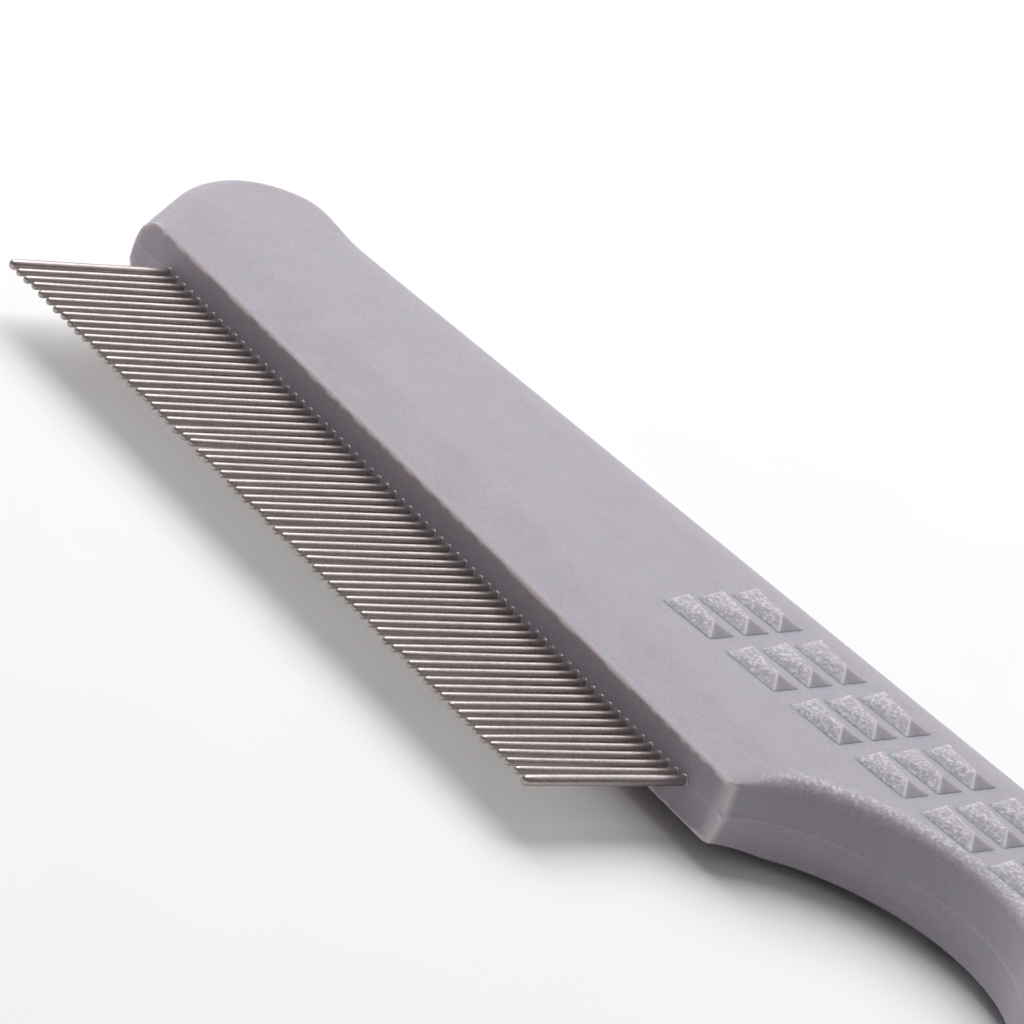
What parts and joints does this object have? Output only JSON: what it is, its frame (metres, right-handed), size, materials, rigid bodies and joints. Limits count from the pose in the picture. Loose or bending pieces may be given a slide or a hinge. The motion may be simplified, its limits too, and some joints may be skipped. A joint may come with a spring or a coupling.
{
  "type": "flea comb",
  "caption": "Fine-toothed comb: close round steel pins set in the straight edge of a flat plastic head, with a finger notch and a long wedge-grip handle with a hang hole.",
  "frame": {"origin": "centre of the comb's bounding box, on the parting plane of the handle", "axes": "+X along the row of pins from the rounded head to the handle's hang hole, -Y the way the pins point, +Z out of the upper grip face, through the comb's thickness"},
  "size_m": [0.1668, 0.0506, 0.0072],
  "materials": {
    "handle_plastic": "fine moulded texture, light lilac grey",
    "pin_steel": "bright drawn steel wire with polished rounded tips"
  },
  "bodies": {
    "root": {"comb_handle": "handle_plastic", "fine_pin_01": "pin_steel", "fine_pin_02": "pin_steel", "fine_pin_03": "pin_steel", "fine_pin_04": "pin_steel", "fine_pin_05": "pin_steel", "fine_pin_06": "pin_steel", "fine_pin_07_08": "pin_steel", "fine_pin_09": "pin_steel", "fine_pin_10": "pin_steel", "fine_pin_11": "pin_steel", "fine_pin_12": "pin_steel", "fine_pin_13": "pin_steel", "fine_pin_14": "pin_steel", "fine_pin_15_16": "pin_steel", "fine_pin_17": "pin_steel", "fine_pin_18": "pin_steel", "fine_pin_19": "pin_steel", "fine_pin_20": "pin_steel", "fine_pin_21": "pin_steel", "fine_pin_22": "pin_steel", "fine_pin_23_24": "pin_steel", "fine_pin_25": "pin_steel", "fine_pin_26": "pin_steel", "fine_pin_27": "pin_steel", "fine_pin_28": "pin_steel", "fine_pin_29": "pin_steel", "fine_pin_30": "pin_steel", "fine_pin_31_32": "pin_steel", "fine_pin_33": "pin_steel", "fine_pin_34": "pin_steel", "fine_pin_35": "pin_steel", "fine_pin_36": "pin_steel", "fine_pin_37": "pin_steel", "fine_pin_38": "pin_steel", "fine_pin_39_40": "pin_steel", "fine_pin_41": "pin_steel", "fine_pin_42": "pin_steel", "fine_pin_43": "pin_steel", "fine_pin_44": "pin_steel", "fine_pin_45": "pin_steel", "fine_pin_46": "pin_steel", "fine_pin_47_48": "pin_steel", "fine_pin_49": "pin_steel", "fine_pin_50": "pin_steel", "fine_pin_51": "pin_steel", "fine_pin_52": "pin_steel", "fine_pin_53": "pin_steel", "fine_pin_54": "pin_steel", "fine_pin_55_56": "pin_steel", "fine_pin_57": "pin_steel", "fine_pin_58": "pin_steel", "fine_pin_59": "pin_steel", "fine_pin_60": "pin_steel", "fine_pin_61": "pin_steel", "fine_pin_62": "pin_steel", "fine_pin_63_64": "pin_steel", "fine_pin_65": "pin_steel", "guard_pin_head": "pin_steel", "guard_pin_heel": "pin_steel"}
  },
  "joints": []
}
